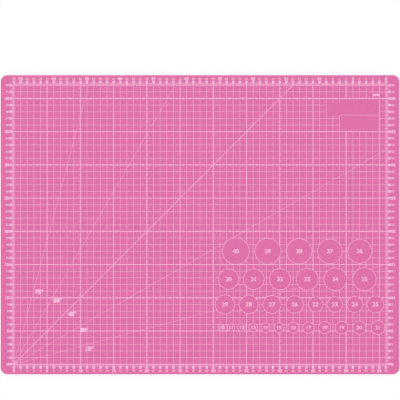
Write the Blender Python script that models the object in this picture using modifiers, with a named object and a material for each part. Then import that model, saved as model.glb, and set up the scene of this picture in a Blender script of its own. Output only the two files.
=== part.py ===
"""Self healing cutting mat: five sheets laminated into one slab, with the main ruling printed on top.

Metres, +Z up. The origin is the middle of the underside, +X runs along the long side, and the
printed scales start at the corner of the ruling that lies towards -X and -Y.
"""

import math

import bmesh
import bpy
from mathutils import Matrix, Vector

MM = 0.001

# Outline of the die-cut slab
MAT_LENGTH = 600 * MM
MAT_WIDTH = 450 * MM
CORNER_RADIUS = 10 * MM
CORNER_SEGMENTS = 10
RIM_ROUND = 0.25 * MM
RIM_SEGMENTS = 2
SHARP_ANGLE = math.radians(50)

# Sheets of the laminate
SKIN_THICKNESS = 0.50 * MM
CUSHION_THICKNESS = 0.60 * MM
CORE_THICKNESS = 0.72 * MM
BOND_LINE = 0.02 * MM

# Printed ruling, measured along the scales from their common zero
SCALE_LENGTH = 560 * MM
SCALE_WIDTH = 420 * MM
RULE_PITCH = 50 * MM
RULE_LINE = 0.5 * MM
GUIDE_LINE = 0.3 * MM
DIAGONAL_LINE = 0.4 * MM
CIRCLE_LINE = 0.4 * MM
INK_THICKNESS = 0.05 * MM
INK_SEAT = 0.02 * MM

# Bare panel for a label, between main rules in the far corner, with a ruled box in its lower part
LABEL_LENGTH = 60 * MM
LABEL_BOX_HEIGHT = 25 * MM

# Guide lines that fan out from the zero of the scales, in degrees
GUIDE_ANGLES = (15, 30, 60, 75)
DIAGONAL_ANGLE = 45

# Circle templates: each row's height, its first centre back from the far end of the scale, and its gaps
CIRCLE_UNIT = 1 * MM
FORTIES_HEIGHT = 170 * MM
FORTIES_BACK = 226 * MM
FORTIES_GAP = 8.6 * MM
THIRTIES_HEIGHT = 128 * MM
THIRTIES_BACK = 237 * MM
THIRTIES_GAP = 7.5 * MM
THIRTIES_GROWTH = 0.45 * MM
TWENTIES_HEIGHT = 90 * MM
TWENTIES_BACK = 242.5 * MM
TWENTIES_GAP = 7.5 * MM
LOW_TWENTIES_BACK = 106 * MM
LOW_TWENTIES_GAP = 6.5 * MM
TENS_HEIGHT = 55.2 * MM
TENS_BACK = 248 * MM
TENS_GAP = 4.2 * MM
TENS_GROWTH = 0.35 * MM
CIRCLE_SAG = 0.1 * MM

# The runs of circles: row height, labelled diameters, first centre, first gap and growth of the gap
CIRCLE_RUNS = (
    (FORTIES_HEIGHT, range(40, 35, -1), FORTIES_BACK, FORTIES_GAP, 0),
    (THIRTIES_HEIGHT, range(30, 36), THIRTIES_BACK, THIRTIES_GAP, THIRTIES_GROWTH),
    (TWENTIES_HEIGHT, range(29, 25, -1), TWENTIES_BACK, TWENTIES_GAP, 0),
    (TWENTIES_HEIGHT, range(22, 26), LOW_TWENTIES_BACK, LOW_TWENTIES_GAP, 0),
    (TENS_HEIGHT, range(10, 22), TENS_BACK, TENS_GAP, TENS_GROWTH),
)

# Centimetre lines that run through the rows of circles and tie them to the main rules
ROW_LINE_PITCH = 10 * MM
ROW_LINE_LENGTH = 260 * MM

# Colours as linear red, green and blue
PINK_SKIN = (0.753, 0.165, 0.402)
PINK_CUSHION = (0.800, 0.260, 0.480)
WHITE_CORE = (0.860, 0.800, 0.830)
PALE_INK = (0.960, 0.800, 0.890)
SKIN_ROUGHNESS = 0.55
CUSHION_ROUGHNESS = 0.60
CORE_ROUGHNESS = 0.50
INK_ROUGHNESS = 0.50

# Height of the plugs that blank out areas of the ink
TALL = 1 * MM


def clear_scene():
    for old in list(bpy.data.objects):
        bpy.data.objects.remove(old, do_unlink=True)


def new_collection(name):
    collection = bpy.data.collections.new(name)
    bpy.context.scene.collection.children.link(collection)
    return collection


def plastic(name, colour, roughness):
    material = bpy.data.materials.new(name)
    material.use_nodes = True
    shader = material.node_tree.nodes["Principled BSDF"]
    shader.inputs["Base Color"].default_value = (*colour, 1)
    shader.inputs["Roughness"].default_value = roughness
    shader.inputs["Metallic"].default_value = 0
    return material


def add_object(name, bm, collection, material=None):
    mesh = bpy.data.meshes.new(name)
    bm.to_mesh(mesh)
    bm.free()
    piece = bpy.data.objects.new(name, mesh)
    collection.objects.link(piece)
    if material:
        mesh.materials.append(material)
    return piece


def sheet(name, thickness, foot, material, collection, rim=None):
    """A die-cut sheet standing on its own z = 0; rim is the height of the edge that is rounded over."""
    bm = bmesh.new()
    size = Vector((MAT_LENGTH, MAT_WIDTH, thickness))
    bmesh.ops.create_cube(bm, size=1)
    bmesh.ops.scale(bm, vec=size, verts=bm.verts)
    bmesh.ops.translate(bm, vec=(0, 0, thickness / 2), verts=bm.verts)
    uprights = [e for e in bm.edges if abs(e.verts[0].co.z - e.verts[1].co.z) > thickness / 2]
    bmesh.ops.bevel(
        bm, geom=uprights, offset=CORNER_RADIUS, segments=CORNER_SEGMENTS, profile=0.5, affect="EDGES"
    )
    if rim is not None:
        edge = [e for e in bm.edges if all(abs(v.co.z - rim) < thickness / 4 for v in e.verts)]
        bmesh.ops.bevel(
            bm, geom=edge, offset=RIM_ROUND, segments=RIM_SEGMENTS, profile=0.5, affect="EDGES"
        )
    piece = add_object(name, bm, collection, material)
    piece.data.shade_smooth()
    piece.data.set_sharp_from_angle(angle=SHARP_ANGLE)
    piece.location.z = foot
    return piece


def laminate(collection):
    """Stacks the five sheets from the underside up and returns the height of the cutting face."""
    skin = plastic("pink PVC skin", PINK_SKIN, SKIN_ROUGHNESS)
    cushion = plastic("soft pink PVC", PINK_CUSHION, CUSHION_ROUGHNESS)
    core = plastic("hard white PVC", WHITE_CORE, CORE_ROUGHNESS)
    stack = (
        ("bottom_skin", SKIN_THICKNESS, skin, 0.0),
        ("lower_cushion", CUSHION_THICKNESS, cushion, None),
        ("core_sheet", CORE_THICKNESS, core, None),
        ("upper_cushion", CUSHION_THICKNESS, cushion, None),
        ("top_skin", SKIN_THICKNESS, skin, SKIN_THICKNESS),
    )
    foot = 0.0
    for name, thickness, material, rim in stack:
        sheet(name, thickness, foot, material, collection, rim)
        foot += thickness + BOND_LINE
    return foot - BOND_LINE


def marks(length):
    """Places of the main rules along a scale: its zero, every pitch and its end."""
    places = [i * RULE_PITCH for i in range(math.ceil(length / RULE_PITCH))]
    return places + [length]


def net():
    """The flat net of main rules: a grid of cells, each inset by half a line and opened."""
    across = marks(SCALE_LENGTH)
    up = marks(SCALE_WIDTH)
    bm = bmesh.new()
    bmesh.ops.create_grid(bm, x_segments=len(across) - 1, y_segments=len(up) - 1, size=0.5)
    outward = {}
    for v in bm.verts:
        column = round((v.co.x + 0.5) * (len(across) - 1))
        row = round((v.co.y + 0.5) * (len(up) - 1))
        v.co = (across[column], up[row], 0)
        right_or_left = (column == len(across) - 1) - (column == 0)
        far_or_near = (row == len(up) - 1) - (row == 0)
        outward[v] = Vector((right_or_left, far_or_near, 0))
    cells = list(bm.faces)
    half = RULE_LINE / 2
    bmesh.ops.inset_individual(bm, faces=cells, thickness=half, use_even_offset=True)
    bmesh.ops.delete(bm, geom=cells, context="FACES")
    for v, way in outward.items():
        v.co += way * half
    return bm


def bar(name, start, end, width, collection):
    """A flat printed line between two points of the scales."""
    run = Vector(end) - Vector(start)
    bm = bmesh.new()
    bmesh.ops.create_cube(bm, size=1)
    bmesh.ops.scale(bm, vec=(run.length, width, INK_THICKNESS), verts=bm.verts)
    turn = Matrix.Rotation(math.atan2(run.y, run.x), 4, "Z")
    middle = (Vector(start) + Vector(end)) / 2
    place = Matrix.Translation((middle.x, middle.y, INK_THICKNESS / 2))
    bmesh.ops.transform(bm, matrix=place @ turn, verts=bm.verts)
    return add_object(name, bm, collection)


def guide_end(angle):
    """Where a line at this angle from the zero of the scales meets the far side of the ruling."""
    slope = math.tan(math.radians(angle))
    reach = min(SCALE_LENGTH, SCALE_WIDTH / slope)
    return reach, reach * slope


def sides_of(radius):
    """Sides that a circle needs to keep its flats within the allowed sag."""
    return math.ceil(math.pi / math.acos(1 - CIRCLE_SAG / radius))


def disc(name, centre, radius, height, collection):
    """An upright round plug, centred on the ink."""
    bm = bmesh.new()
    bmesh.ops.create_cone(
        bm, cap_ends=True, segments=sides_of(radius), radius1=radius, radius2=radius, depth=height
    )
    bmesh.ops.translate(bm, vec=(*centre, INK_THICKNESS / 2), verts=bm.verts)
    return add_object(name, bm, collection)


def ring(name, centre, radius, collection):
    """A flat printed circle: an outline of the disc's sides, drawn half a line each way."""
    sides = sides_of(radius)
    bm = bmesh.new()
    bmesh.ops.create_circle(bm, cap_ends=True, segments=sides, radius=radius + CIRCLE_LINE / 2)
    faces = list(bm.faces)
    sink = CIRCLE_LINE * math.cos(math.pi / sides)
    bmesh.ops.inset_individual(bm, faces=faces, thickness=sink, use_even_offset=True)
    bmesh.ops.delete(bm, geom=faces, context="FACES")
    flat = list(bm.faces)
    raised = bmesh.ops.extrude_face_region(bm, geom=flat)["geom"]
    top = [v for v in raised if isinstance(v, bmesh.types.BMVert)]
    bmesh.ops.translate(bm, vec=(0, 0, INK_THICKNESS), verts=top)
    bmesh.ops.translate(bm, vec=(*centre, 0), verts=bm.verts)
    bmesh.ops.recalc_face_normals(bm, faces=bm.faces)
    return add_object(name, bm, collection)


def circles():
    """Yields the name, centre and radius of each circle template, spaced along its row."""
    for height, labels, back, gap, growth in CIRCLE_RUNS:
        x = SCALE_LENGTH - back
        for i, label in enumerate(labels):
            yield f"circle_{label}", (x, height), label * CIRCLE_UNIT / 2
            x += (label + labels.step / 2) * CIRCLE_UNIT + gap + i * growth


def row_lines():
    """Yields the ends of the centimetre line nearest to the middle of each row of circles."""
    heights = {round(height / ROW_LINE_PITCH) * ROW_LINE_PITCH for height, *_ in CIRCLE_RUNS}
    for height in sorted(heights):
        yield (SCALE_LENGTH - ROW_LINE_LENGTH, height), (SCALE_LENGTH, height)


def boolean(piece, operation, collection):
    modifier = piece.modifiers.new(f"{operation} {collection.name}".lower(), "BOOLEAN")
    modifier.operation = operation
    modifier.operand_type = "COLLECTION"
    modifier.collection = collection
    modifier.solver = "EXACT"


def label_panel(blanked, outlined):
    """Clears the panel between its main rules and draws the box at its foot."""
    right = marks(SCALE_LENGTH)[-2]
    foot, top = marks(SCALE_WIDTH)[-3:-1]
    left = right - LABEL_LENGTH
    box_top = foot + LABEL_BOX_HEIGHT
    middle = (foot + top) / 2
    inner_right = right - RULE_LINE / 2
    inner_height = top - foot - RULE_LINE
    blank = bar("label_blank", (left, middle), (inner_right, middle), inner_height, blanked)
    blank.scale.z = TALL / INK_THICKNESS
    bar("label_side", (left, foot), (left, box_top), GUIDE_LINE, outlined)
    bar("label_top", (left, box_top), (right, box_top), GUIDE_LINE, outlined)


def grid_print(foot, collection):
    """The printed ink: main rules, guide lines, circle templates and the label panel, in one film."""
    added = new_collection("printed lines")
    blanked = new_collection("blanked areas")
    outlined = new_collection("printed outlines")
    for angle in (*GUIDE_ANGLES, DIAGONAL_ANGLE):
        width = DIAGONAL_LINE if angle == DIAGONAL_ANGLE else GUIDE_LINE
        bar(f"guide_{angle}", (0, 0), guide_end(angle), width, added)
    for i, (start, end) in enumerate(row_lines()):
        bar(f"row_{i}", start, end, GUIDE_LINE, added)
    for name, centre, radius in circles():
        disc(f"{name}_blank", centre, radius, TALL, blanked)
        ring(name, centre, radius, outlined)
    label_panel(blanked, outlined)

    film = add_object("grid_print", net(), collection, plastic("pale ink", PALE_INK, INK_ROUGHNESS))
    thicken = film.modifiers.new("ink thickness", "SOLIDIFY")
    thicken.thickness = INK_THICKNESS
    thicken.offset = 1
    boolean(film, "UNION", added)
    boolean(film, "DIFFERENCE", blanked)
    boolean(film, "UNION", outlined)

    zero = Vector((-SCALE_LENGTH / 2, -SCALE_WIDTH / 2, foot))
    film.location = zero
    for group in (added, blanked, outlined):
        for tool in group.objects:
            tool.location = zero
            tool.hide_render = True
            tool.display_type = "WIRE"
    return film


def main():
    clear_scene()
    parts = new_collection("self healing mat")
    face = laminate(parts)
    grid_print(face + INK_SEAT, parts)


main()
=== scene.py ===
"""Looks of the self healing mat: PVC sheets and the full screen print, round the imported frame.

Metres, +Z up. Places on the print are in centimetres along the printed scales, from their common
zero at the corner of the ruling towards -X and -Y, as a person reading the mat would give them.
"""

import itertools
import math

import bpy
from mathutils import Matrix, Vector


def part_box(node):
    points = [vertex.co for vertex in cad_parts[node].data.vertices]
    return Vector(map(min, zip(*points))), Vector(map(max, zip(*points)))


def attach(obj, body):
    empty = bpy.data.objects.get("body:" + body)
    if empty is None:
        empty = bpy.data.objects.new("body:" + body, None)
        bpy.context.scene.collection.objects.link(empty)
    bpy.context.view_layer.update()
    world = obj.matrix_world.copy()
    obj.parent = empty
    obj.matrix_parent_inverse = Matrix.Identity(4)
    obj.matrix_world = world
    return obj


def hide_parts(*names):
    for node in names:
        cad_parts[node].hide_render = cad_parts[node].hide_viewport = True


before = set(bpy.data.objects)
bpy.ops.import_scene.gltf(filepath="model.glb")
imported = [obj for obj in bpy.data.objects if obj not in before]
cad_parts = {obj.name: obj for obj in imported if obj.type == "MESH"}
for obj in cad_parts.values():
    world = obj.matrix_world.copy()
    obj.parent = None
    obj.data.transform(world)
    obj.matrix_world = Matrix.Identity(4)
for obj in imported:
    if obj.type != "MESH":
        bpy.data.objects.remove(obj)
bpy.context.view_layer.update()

MM = 0.001
CM = 0.01
MM_PER_CM = 10

# The ruling, in centimetres, as in the part's source
SCALE_LENGTH = 56
SCALE_WIDTH = 42
MAIN_STEP = 5
TICKED_STEP = 10
TICK_STEP = 0.1
HALF_TICK_STEP = 0.5
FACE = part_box("top_skin")[1].z
ZERO = Vector((-SCALE_LENGTH / 2 * CM, -SCALE_WIDTH / 2 * CM, FACE))

# Rounding that a place along a scale may be out by, in steps
ROUNDING = 1e-6

# Widths of the printed lines
CENTIMETRE_LINE = 0.38 * MM
MAIN_LINE = 0.78 * MM
TICKED_LINE = 0.60 * MM
BORDER_LINE = 0.56 * MM
GUIDE_LINE = 0.26 * MM
DIAGONAL_LINE = 0.55 * MM
CIRCLE_LINE = 0.45 * MM
BOX_LINE = 0.40 * MM
TICK_LINE = 0.28 * MM
HALF_TICK_LINE = 0.52 * MM
BORDER_HALF_LINE = 0.36 * MM

# Lengths of the millimetre and half centimetre ticks
INNER_TICK = 1.5 * MM
INNER_HALF_TICK = 3.4 * MM
BORDER_TICK = 3.0 * MM
BORDER_HALF_TICK = 4.5 * MM

# Sides of a rule that its ticks stand on; the border runs round with its inside to the left
OUTSIDE = -1
ACROSS = 0
INSIDE = 1

# Ticks of the border: side, length, width, and step in centimetres
BORDER_TICKS = (
    (OUTSIDE, BORDER_TICK, TICK_LINE, TICK_STEP),
    (OUTSIDE, BORDER_HALF_TICK, BORDER_HALF_LINE, HALF_TICK_STEP),
    (OUTSIDE, BORDER_TICK, MAIN_LINE, MAIN_STEP),
    (INSIDE, INNER_HALF_TICK / 2, HALF_TICK_LINE, HALF_TICK_STEP),
)

# Ink is laid in passes, each a hair thicker than the last, so that marks that cross share no face
THINNEST_INK = 0.010 * MM
PASS = 0.003 * MM

# Dots of the four scales, as distances out from the border
DOT_OUT = 4.9 * MM
DOT_RADIUS = 1.90 * MM
DOT_TIP_OUT = 1.6 * MM
DOT_SIDES = 20

# How much further out the dots of the scales below, right, above and left stand
DOT_ROWS = (0.2 * MM, 0.45 * MM, 0.0, 0.0)

# Numbers of the scales below, right, above and left: the end or middle that keeps its place, their
# turn, and how far out a five and any other number stand
NUMBER_ROWS = (
    ("CENTER", 0.0, 9.9 * MM, 9.9 * MM),
    ("RIGHT", math.pi, 7.75 * MM, 8.2 * MM),
    ("CENTER", math.pi, 9.7 * MM, 9.5 * MM),
    ("RIGHT", 0.0, 7.5 * MM, 7.75 * MM),
)

# Numerals: size, how far the sides of the strokes move out as a share of it, how much wider than
# the font's they are, and how much of the font's step there is from one to the next
CENTIMETRE_NUMERAL = (4.2 * MM, 0.020, 1.13, 1.02)
FIVE_NUMERAL = (5.8 * MM, 0.040, 1.10, 1.05)
CIRCLE_NUMERAL = (8.6 * MM, 0.017, 1.08, 1.0)
SMALL_NUMERAL = (7.1 * MM, 0.017, 1.12, 1.0)
GUIDE_NUMERAL = (8.5 * MM, 0.050, 1.05, 1.0)
UNIT_LETTERS = (7.0 * MM, 0.043, 1.0, 1.0)

# How far the font's digits stand above the middle of their line, as a share of their size
DIGIT_RISE = 0.03

# Steps of a numeral's curves, and how near two of its points are one
NUMERAL_STEPS = 3
WELD = 0.001 * MM

# Angles of the guide lines from the zero of the scales, and the places of their labels
GUIDES = {
    15: (11.33, 2.32),
    30: (10.57, 5.14),
    45: (8.78, 7.57),
    60: (6.56, 9.60),
    75: (3.84, 10.89),
}
DIAGONAL = 45

# Circle templates: row height, diameters in millimetres, which are also their labels, and then
# first centre, first gap and growth of the gap, in centimetres
CIRCLE_RUNS = (
    (17.0, range(40, 35, -1), 33.4, 0.86, 0.0),
    (12.8, range(30, 36), 32.3, 0.75, 0.045),
    (9.0, range(29, 25, -1), 31.75, 0.75, 0.0),
    (9.0, range(22, 26), 45.4, 0.65, 0.0),
    (5.52, range(10, 22), 31.2, 0.42, 0.035),
)
CIRCLE_SIDES = 96

# Largest circle whose label is in the small numerals
SMALL_CIRCLE = 21

# Bare panel for a label, as left, foot, right and top: its box, the height of the ruled box at its
# foot, and the shallower blank to its left
PANEL = (49, 35, 55, 40)
PANEL_BOX_TOP = 37.5
PANEL_SIDE = (47.05, 37.5, 49.05, 39.3)
UNIT_MARK = (54.5, 40.6)

# Darker and lighter tone of the sheets and of the ink
SKIN_TONES = ("DB67A2", "E16DA8")
CUSHION_TONES = ("E58BB9", "EA93C0")
CORE_TONES = ("EFE6EB", "F6EEF2")
INK_TONES = ("FFC2E5", "FFCCEA")

# Clouding of the sheets: its size, and the share of its pattern over which the tone changes
CLOUD = 6 * MM
CLOUD_SPAN = (0.3, 0.7)

# Unevenness of the ink
INK_PATCH = 1.5 * MM
INK_SPAN = (0.0, 1.0)

# Grain of the sheets: its width as drawn, its depth on the skins, the cushions and the core, and
# what is left of it on the ink
GRAIN = 1.1 * MM
SKIN_GRAIN = 0.20 * MM
CUSHION_GRAIN = 0.14 * MM
CORE_GRAIN = 0.08 * MM
INK_GRAIN = SKIN_GRAIN / 2

# Gloss: roughness, what the grain adds to it in its pits and takes off on its tops, and shine
SKIN_ROUGHNESS = 0.55
CUSHION_ROUGHNESS = 0.62
CORE_ROUGHNESS = 0.5
INK_ROUGHNESS = 0.5
GRAIN_ROUGHNESS = 0.10
PVC_IOR = 1.53
INK_IOR = 1.5
SHINE = 0.3

# Paper floor, and the light that brings it to white where it is looked at
FLOOR_SIZE = 8
FLOOR_COLOUR = (0.9, 0.9, 0.9, 1)
FLOOR_ROUGHNESS = 0.9
FLOOR_LIFT = 0.12

# Light of the sky on the mat, its white where it is looked at, and a wide soft sun near overhead
WHITE = (1, 1, 1, 1)
SKY_LIGHT = 0.58
SKY_SEEN = 1.0
SUN_LIGHT = 1.28
SUN_ANGLE = math.radians(35)
SUN_TURN = (math.radians(-10), math.radians(-8), 0)

# The photograph looks straight down, with the middle of its frame a little beyond the mat's middle
PHOTO_WIDTH = 400
PIXELS_PER_CM = 6.645
MAT_MIDDLE_ROW = 224.7
LENS = 135
SENSOR = 36


# Colour and shader helpers

def srgb(code):
    """Linear colour of an sRGB hex code."""
    def linear(byte):
        part = byte / 255
        return part / 12.92 if part <= 0.04045 else ((part + 0.055) / 1.055) ** 2.4
    return tuple(linear(int(code[i:i + 2], 16)) for i in (0, 2, 4)) + (1.0,)


def add_node(tree, kind, settings=None, inputs=None):
    """Adds a shader node; an input is a value or the socket that feeds it."""
    node = tree.nodes.new(kind)
    for key, value in (settings or {}).items():
        setattr(node, key, value)
    for key, value in (inputs or {}).items():
        if isinstance(value, bpy.types.NodeSocket):
            tree.links.new(value, node.inputs[key])
        else:
            node.inputs[key].default_value = value
    return node


def new_material(name):
    """A new material and its empty node tree."""
    material = bpy.data.materials.new(name)
    material.use_nodes = True
    tree = material.node_tree
    tree.nodes.clear()
    return material, tree


def principled(tree, inputs):
    """Ends a material's tree in a surface with these inputs."""
    shader = add_node(tree, "ShaderNodeBsdfPrincipled", inputs=inputs)
    add_node(tree, "ShaderNodeOutputMaterial", inputs={"Surface": shader.outputs["BSDF"]})


def per_metre(size):
    """Texture scale whose pattern repeats about once in this size."""
    return 1 / size


def two_tones(tree, pattern, tones, span):
    """Colour that goes from the darker to the lighter tone over a span of a pattern."""
    node = add_node(tree, "ShaderNodeValToRGB", inputs={"Fac": pattern})
    for stop, position, tone in zip(node.color_ramp.elements, span, tones):
        stop.position = position
        stop.color = srgb(tone)
    return node.outputs["Color"]


def pressed_grain(tree, place, depth):
    """Fine pebbled grain that rolls press into vinyl sheet: its height, and its normal.

    The real grain is about half a millimetre wide; it is drawn coarser, so that it shows.
    """
    pebbles = add_node(tree, "ShaderNodeTexNoise", inputs={
        "Vector": place, "Scale": per_metre(GRAIN),
        "Detail": 3.0, "Roughness": 0.55}).outputs["Fac"]
    bump = add_node(tree, "ShaderNodeBump", inputs={
        "Height": pebbles, "Strength": 1.0, "Distance": depth})
    return pebbles, bump.outputs["Normal"]


def pvc(name, tones, roughness, depth):
    """Calendered PVC sheet: a fine pressed grain that breaks up the gloss, and faint clouding."""
    material, tree = new_material(name)
    place = add_node(tree, "ShaderNodeTexCoord").outputs["Object"]
    cloud = add_node(tree, "ShaderNodeTexNoise", inputs={
        "Vector": place, "Scale": per_metre(CLOUD), "Detail": 6.0, "Roughness": 0.7})
    pebbles, normal = pressed_grain(tree, place, depth)
    gloss = add_node(tree, "ShaderNodeMapRange", inputs={
        "Value": pebbles,
        "To Min": roughness + GRAIN_ROUGHNESS, "To Max": roughness - GRAIN_ROUGHNESS})
    principled(tree, {
        "Base Color": two_tones(tree, cloud.outputs["Fac"], tones, CLOUD_SPAN),
        "Roughness": gloss.outputs["Result"], "Normal": normal,
        "IOR": PVC_IOR, "Specular IOR Level": SHINE})
    return material


def screen_ink():
    """Screen-printed vinyl ink: a pale film that lets some pink through.

    It is uneven from its pull through a mesh, and thin enough to follow the grain of the sheet.
    """
    material, tree = new_material("screen-printed vinyl ink")
    place = add_node(tree, "ShaderNodeTexCoord").outputs["Object"]
    film = add_node(tree, "ShaderNodeTexNoise", inputs={
        "Vector": place, "Scale": per_metre(INK_PATCH), "Detail": 2.0})
    _, normal = pressed_grain(tree, place, INK_GRAIN)
    principled(tree, {
        "Base Color": two_tones(tree, film.outputs["Fac"], INK_TONES, INK_SPAN),
        "Roughness": INK_ROUGHNESS, "Normal": normal,
        "IOR": INK_IOR, "Specular IOR Level": SHINE})
    return material


def seen_directly(tree):
    """Socket that is 1 for a ray from the camera, a reflection or a clear surface, else 0."""
    rays = add_node(tree, "ShaderNodeLightPath").outputs
    shiny = add_node(tree, "ShaderNodeMath", {"operation": "MAXIMUM"}, {
        0: rays["Is Glossy Ray"], 1: rays["Is Transmission Ray"]})
    seen = add_node(tree, "ShaderNodeMath", {"operation": "MAXIMUM"}, {
        0: rays["Is Camera Ray"], 1: shiny.outputs[0]})
    return seen.outputs[0]


def studio_paper():
    """Matt white paper: it takes the mat's shadow, and a little light of its own whitens it."""
    material, tree = new_material("white studio paper")
    lift = add_node(tree, "ShaderNodeMapRange", inputs={
        "Value": seen_directly(tree), "To Max": FLOOR_LIFT})
    principled(tree, {
        "Base Color": FLOOR_COLOUR, "Roughness": FLOOR_ROUGHNESS, "Specular IOR Level": 0.0,
        "Emission Color": WHITE, "Emission Strength": lift.outputs["Result"]})
    return material


# Drawing helpers: print is drawn in edit mode, in the thickness of its ink

def on_mat(x, y):
    """World place on the cutting face of a point of the scales, in centimetres."""
    return ZERO + Vector((x * CM, y * CM, 0))


def start_drawing(name):
    """A new empty mesh, open in edit mode."""
    bpy.ops.object.select_all(action="DESELECT")
    bpy.ops.mesh.primitive_plane_add(enter_editmode=True)
    bpy.ops.mesh.delete(type="VERT")
    piece = bpy.context.object
    piece.name = name
    piece.data.name = name
    return piece


def end_drawing():
    """Closes the mesh that is open in edit mode."""
    bpy.ops.object.mode_set(mode="OBJECT")


passes = itertools.count()


def next_film():
    """Thickness of the next pass of ink."""
    return THINNEST_INK + next(passes) * PASS


def strip(start, end, width, film):
    """A line of ink between two points of the cutting face."""
    run = end - start
    middle = (start + end) / 2
    middle.z += film / 2
    bpy.ops.mesh.primitive_cube_add(
        size=1, location=middle, rotation=(0, 0, math.atan2(run.y, run.x)),
        scale=(run.length, width, film))


def raise_ink(piece, film):
    """Raises a flat drawing to the thickness of its ink and closes it."""
    modifier = piece.modifiers.new("film of ink", "SOLIDIFY")
    modifier.thickness = film
    modifier.offset = 1
    bpy.ops.object.modifier_apply(modifier=modifier.name)


def repeat(piece, count, step):
    """Repeats a drawn mark along a scale."""
    modifier = piece.modifiers.new("along the scale", "ARRAY")
    modifier.count = count
    modifier.use_relative_offset = False
    modifier.use_constant_offset = True
    modifier.constant_offset_displace = step
    bpy.ops.object.modifier_apply(modifier=modifier.name)


def select(pieces):
    """Selects these objects alone, with the first of them active."""
    bpy.ops.object.select_all(action="DESELECT")
    for piece in pieces:
        piece.select_set(True)
    bpy.context.view_layer.objects.active = pieces[0]


def join(pieces, name):
    """Joins drawn objects into one piece under this name, with its place in its mesh."""
    select(pieces)
    if len(pieces) > 1:
        bpy.ops.object.join()
    bpy.ops.object.transform_apply(location=True, rotation=True, scale=True)
    piece = bpy.context.object
    piece.name = name
    piece.data.name = name
    return piece


def print_piece(piece):
    """Gives a piece of print its ink and lets it ride on the mat."""
    piece.data.materials.clear()
    piece.data.materials.append(VINYL_INK)
    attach(piece, "root")
    return piece


# Where the ruling is clear of circles and of the label panel

def circles():
    """Label, centre and radius of each circle template, in centimetres."""
    for height, labels, first, gap, growth in CIRCLE_RUNS:
        x = first
        for i, label in enumerate(labels):
            yield label, (x, height), label / 2 / MM_PER_CM
            # From centre to centre is the mean of two diameters, and the gap
            x += (label + labels.step / 2) / MM_PER_CM + gap + i * growth


def blanks_on(start, run):
    """Stretches of a line, from 0 to 1 along it, that lie in a circle or in the label panel."""
    for _, centre, radius in circles():
        away = start - Vector(centre)
        along = away.dot(run) / run.dot(run)
        inside = along ** 2 - (away.dot(away) - radius ** 2) / run.dot(run)
        if inside > 0:
            yield -along - math.sqrt(inside), -along + math.sqrt(inside)
    for left, foot, right, top in (PANEL, PANEL_SIDE):
        if run.y == 0 and foot < start.y < top:
            yield (left - start.x) / run.x, (right - start.x) / run.x
        if run.x == 0 and left < start.x < right:
            yield (foot - start.y) / run.y, (top - start.y) / run.y


def clear_spans(start, end):
    """Pieces of a line that are printed, as pairs of points in centimetres."""
    start = Vector(start)
    run = Vector(end) - start
    at = 0.0
    for low, high in sorted(blanks_on(start, run)):
        if low > at:
            yield start + run * at, start + run * min(low, 1)
        at = max(at, high)
        if at >= 1:
            return
    yield start + run * at, Vector(end)


def draw_line(start, end, width, film):
    """Draws a line of the ruling wherever it is clear."""
    for low, high in clear_spans(start, end):
        strip(on_mat(*low), on_mat(*high), width, film)


def is_plain(at):
    """Whether a plain centimetre line stands here."""
    return at % MAIN_STEP != 0


def is_main(at):
    """Whether a five centimetre rule without ticks stands here."""
    return at % MAIN_STEP == 0 and at % TICKED_STEP != 0


def is_ticked(at):
    """Whether a ten centimetre rule with ticks stands here."""
    return at % TICKED_STEP == 0


def upright_lines(keep):
    """Ends of the upright lines of the ruling at the centimetres that keep accepts."""
    return [((x, 0), (x, SCALE_WIDTH)) for x in range(1, SCALE_LENGTH) if keep(x)]


def level_lines(keep):
    """Ends of the level lines of the ruling at the centimetres that keep accepts."""
    return [((0, y), (SCALE_LENGTH, y)) for y in range(1, SCALE_WIDTH) if keep(y)]


def sides():
    """Start and end of each side of the border, anticlockwise: bottom, right, top and left."""
    far = (SCALE_LENGTH, SCALE_WIDTH)
    corners = [Vector(at) for at in ((0, 0), (SCALE_LENGTH, 0), far, (0, SCALE_WIDTH))]
    return list(zip(corners, corners[1:] + corners[:1]))


# Pieces of the print

def ruled_lines(name, keep, width):
    """Upright and level lines of one kind, in two passes of ink."""
    piece = start_drawing(name)
    for lines in (upright_lines(keep), level_lines(keep)):
        film = next_film()
        for start, end in lines:
            draw_line(start, end, width, film)
    end_drawing()
    return piece


def main_rules():
    """The five centimetre rules between those with ticks."""
    return ruled_lines("five_centimetre_rules", is_main, MAIN_LINE)


def centimetre_rules():
    """The plain line at each other centimetre."""
    return ruled_lines("centimetre_rules", is_plain, CENTIMETRE_LINE)


def ticks_along(start, end, side, length, width, step, film):
    """Ticks on a clear stretch of a rule, every step centimetres, or None where none falls."""
    run = end - start
    way = run.normalized()
    reach = run.length
    origin = start.x if run.x else start.y
    first = math.ceil(origin / step - ROUNDING) * step - origin
    count = int((reach - first) / step + ROUNDING) + 1
    if count < 1 or first > reach:
        return None
    foot = start + way * first
    base = on_mat(*foot)
    tick = start_drawing("tick")
    left = Vector((-way.y, way.x, 0)) * length
    strip(base + left * (side - 1) / 2, base + left * (side + 1) / 2, width, film)
    end_drawing()
    repeat(tick, count, Vector((way.x, way.y, 0)) * step * CM)
    return tick


def ticked_rules():
    """The ten centimetre rules: a tick at every millimetre and a longer one at every half."""
    drawn = [ruled_lines("ten_centimetre_rules", is_ticked, TICKED_LINE)]
    for lines in (upright_lines(is_ticked), level_lines(is_ticked)):
        kinds = (
            (INNER_TICK, TICK_LINE, TICK_STEP, next_film()),
            (INNER_HALF_TICK, HALF_TICK_LINE, HALF_TICK_STEP, next_film()),
        )
        for start, end in lines:
            for low, high in clear_spans(start, end):
                for kind in kinds:
                    drawn.append(ticks_along(low, high, ACROSS, *kind))
    return join([piece for piece in drawn if piece], "ten_centimetre_rules")


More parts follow.
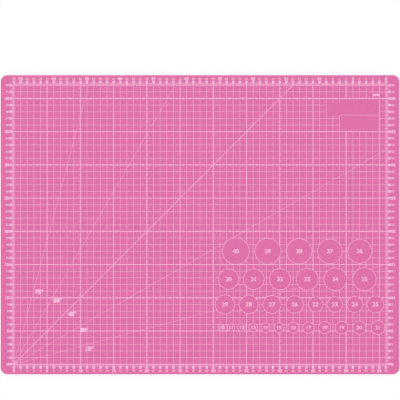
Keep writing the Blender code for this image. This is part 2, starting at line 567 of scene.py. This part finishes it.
def border_rule():
    """The border of the ruling, with the ticks of the scales."""
    drawn = []
    for lines in (sides()[::2], sides()[1::2]):
        border = start_drawing("border_rule")
        film = next_film()
        for start, end in lines:
            way = (end - start).normalized() * BORDER_LINE / 2 / CM
            strip(on_mat(*(start - way)), on_mat(*(end + way)), BORDER_LINE, film)
        end_drawing()
        drawn.append(border)
        for kind in BORDER_TICKS:
            film = next_film()
            for start, end in lines:
                drawn.append(ticks_along(start, end, *kind, film))
    return join(drawn, "border_rule")


def scale_dots():
    """A drop-shaped dot at each centimetre of the four scales, with its point towards the border."""
    drawn = []
    film = next_film()
    for (start, end), further in zip(sides(), DOT_ROWS):
        way = (end - start).normalized()
        out = Vector((way.y, -way.x, 0))
        base = on_mat(*start) + out * further
        dot = start_drawing("dot")
        bpy.ops.mesh.primitive_circle_add(
            vertices=DOT_SIDES, radius=DOT_RADIUS, fill_type="NGON",
            location=base + out * DOT_OUT)
        # The point nearest to the border is drawn out to a tip, and its neighbours follow
        bpy.ops.mesh.select_all(action="DESELECT")
        bpy.ops.object.mode_set(mode="OBJECT")
        tip = min(dot.data.vertices, key=lambda v: (v.co - base).length)
        tip.select = True
        move = base + out * DOT_TIP_OUT - tip.co
        bpy.ops.object.mode_set(mode="EDIT")
        bpy.ops.transform.translate(
            value=move, use_proportional_edit=True, proportional_edit_falloff="SHARP",
            proportional_size=DOT_RADIUS)
        end_drawing()
        raise_ink(dot, film)
        repeat(dot, round((end - start).length) + 1, Vector((way.x, way.y, 0)) * CM)
        drawn.append(dot)
    return join(drawn, "scale_dots")


def number(text, place, numeral, film, align="CENTER", turn=0.0):
    """A printed number at its place, as a text that is still to be made a mesh."""
    size, weight, stretch, step = numeral
    bpy.ops.object.text_add(location=place, rotation=(0, 0, turn))
    label = bpy.context.object
    label.data.body = text
    label.data.size = size
    label.data.space_character = step
    label.data.align_x = align
    label.data.align_y = "CENTER"
    label.data.offset_y = -size * DIGIT_RISE
    label.data.resolution_u = NUMERAL_STEPS
    # A bevel thickens the strokes, and the height that it gives is pressed down to the film's
    label.data.bevel_depth = size * weight
    label.data.bevel_resolution = 0
    label.scale = (stretch, 1, film / (2 * label.data.bevel_depth))
    label.location.z += film / 2
    return label


def print_numbers(labels, name):
    """Makes texts into one closed mesh."""
    select(labels)
    bpy.ops.object.convert(target="MESH")
    piece = join(labels, name)
    bpy.ops.object.mode_set(mode="EDIT")
    bpy.ops.mesh.select_all(action="SELECT")
    bpy.ops.mesh.remove_doubles(threshold=WELD)
    bpy.ops.mesh.faces_shade_flat()
    end_drawing()
    return piece


def scale_numbers():
    """Numbers at each centimetre: rightwards below, leftwards above, and upwards at both sides."""
    labels = []
    film = next_film()
    for (start, end), (align, turn, five_out, number_out) in zip(sides(), NUMBER_ROWS):
        way = (end - start).normalized()
        out = Vector((way.y, -way.x, 0))
        length = round((end - start).length)
        for at in range(length + 1):
            # The left side runs downwards
            shown = length - at if way.y < 0 else at
            five = shown % MAIN_STEP == 0
            place = on_mat(*(start + way * at)) + out * (five_out if five else number_out)
            numeral = FIVE_NUMERAL if five else CENTIMETRE_NUMERAL
            labels.append(number(str(shown), place, numeral, film, align, turn))
    return print_numbers(labels, "scale_numbers")


def angle_guides():
    """Guide lines that fan out from the zero of the scales to the far side of the ruling."""
    piece = start_drawing("angle_guides")
    for angle in GUIDES:
        slope = math.tan(math.radians(angle))
        reach = min(SCALE_LENGTH, SCALE_WIDTH / slope)
        width = DIAGONAL_LINE if angle == DIAGONAL else GUIDE_LINE
        draw_line((0, 0), (reach, reach * slope), width, next_film())
    end_drawing()
    return piece


def angle_numbers():
    """The angle of each guide line, in degrees, beside it."""
    labels = []
    film = next_film()
    for angle, at in GUIDES.items():
        labels.append(number(f"{angle}°", on_mat(*at), GUIDE_NUMERAL, film))
    return print_numbers(labels, "angle_numbers")


def circle_templates():
    """A printed ring for each template: a disc is inset by the width of the line and opened."""
    piece = start_drawing("circle_templates")
    for _, centre, radius in circles():
        bpy.ops.mesh.select_all(action="DESELECT")
        bpy.ops.mesh.primitive_circle_add(
            vertices=CIRCLE_SIDES, radius=radius * CM + CIRCLE_LINE / 2, fill_type="NGON",
            location=on_mat(*centre))
        bpy.ops.mesh.inset(thickness=CIRCLE_LINE)
        bpy.ops.mesh.delete(type="FACE")
    end_drawing()
    raise_ink(piece, next_film())
    return piece


def circle_numbers():
    """The diameter of each template, in millimetres, at its middle."""
    labels = []
    film = next_film()
    for label, centre, _ in circles():
        numeral = SMALL_NUMERAL if label <= SMALL_CIRCLE else CIRCLE_NUMERAL
        labels.append(number(str(label), on_mat(*centre), numeral, film))
    return print_numbers(labels, "circle_numbers")


def label_box():
    """The two lines that make a ruled box at the foot of the bare label panel."""
    left, foot, right, _ = PANEL
    corner = on_mat(left, PANEL_BOX_TOP)
    piece = start_drawing("label_box")
    strip(on_mat(left, foot), corner, BOX_LINE, next_film())
    strip(corner, on_mat(right, PANEL_BOX_TOP), BOX_LINE, next_film())
    end_drawing()
    return piece


def unit_mark():
    """The unit of the scales, in the corner of the ruling."""
    mark = number("cm", on_mat(*UNIT_MARK), UNIT_LETTERS, next_film())
    return print_numbers([mark], "unit_mark")


# The mat

# Skins: an even satin pink, whose grain turns a shine into a soft glow
SKIN = pvc("calendered pink PVC", SKIN_TONES, SKIN_ROUGHNESS, SKIN_GRAIN)
# Cushions: a paler, duller pink, seen as a band in the edge on each side of the core
CUSHION = pvc("soft pink PVC", CUSHION_TONES, CUSHION_ROUGHNESS, CUSHION_GRAIN)
# Core: a warm white line along the middle of the edge, the smoothest of the sheets
CORE = pvc("hard white PVC", CORE_TONES, CORE_ROUGHNESS, CORE_GRAIN)
# Print: pale pink marks, a little uneven, with the same soft gloss as the skin below
VINYL_INK = screen_ink()

FINISHES = {
    "bottom_skin": SKIN,
    "lower_cushion": CUSHION,
    "core_sheet": CORE,
    "upper_cushion": CUSHION,
    "top_skin": SKIN,
}
for name, finish in FINISHES.items():
    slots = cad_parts[name].data.materials
    slots.clear()
    slots.append(finish)

ruling = print_piece(main_rules())
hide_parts("grid_print")
for make in (
    centimetre_rules, scale_dots, scale_numbers, circle_numbers, unit_mark, label_box, border_rule,
    ticked_rules, circle_templates, angle_guides, angle_numbers,
):
    print_piece(make())


# Studio

bpy.ops.object.select_all(action="DESELECT")
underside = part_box("bottom_skin")[0].z
bpy.ops.mesh.primitive_plane_add(size=FLOOR_SIZE, location=(0, 0, underside))
floor = bpy.context.object
floor.name = "studio_floor"
floor.data.materials.append(studio_paper())

world = bpy.data.worlds.new("soft studio")
bpy.context.scene.world = world
world.use_nodes = True
sky_tree = world.node_tree
sky_tree.nodes.clear()
level = add_node(sky_tree, "ShaderNodeMapRange", inputs={
    "Value": seen_directly(sky_tree), "To Min": SKY_LIGHT, "To Max": SKY_SEEN})
sky = add_node(sky_tree, "ShaderNodeBackground", inputs={
    "Color": WHITE, "Strength": level.outputs["Result"]})
add_node(sky_tree, "ShaderNodeOutputWorld", inputs={"Surface": sky.outputs["Background"]})

bpy.ops.object.light_add(type="SUN", rotation=SUN_TURN)
sun = bpy.context.object.data
sun.energy = SUN_LIGHT
sun.angle = SUN_ANGLE

frame_width = PHOTO_WIDTH / PIXELS_PER_CM * CM
look_at = (MAT_MIDDLE_ROW - PHOTO_WIDTH / 2) / PIXELS_PER_CM * CM
height = FACE + frame_width * LENS / SENSOR
bpy.ops.object.camera_add(location=(0, look_at, height), rotation=(0, 0, 0))
camera = bpy.context.object
camera.data.lens = LENS
camera.data.sensor_width = SENSOR
bpy.context.scene.camera = camera
bpy.context.scene.view_settings.view_transform = "Standard"
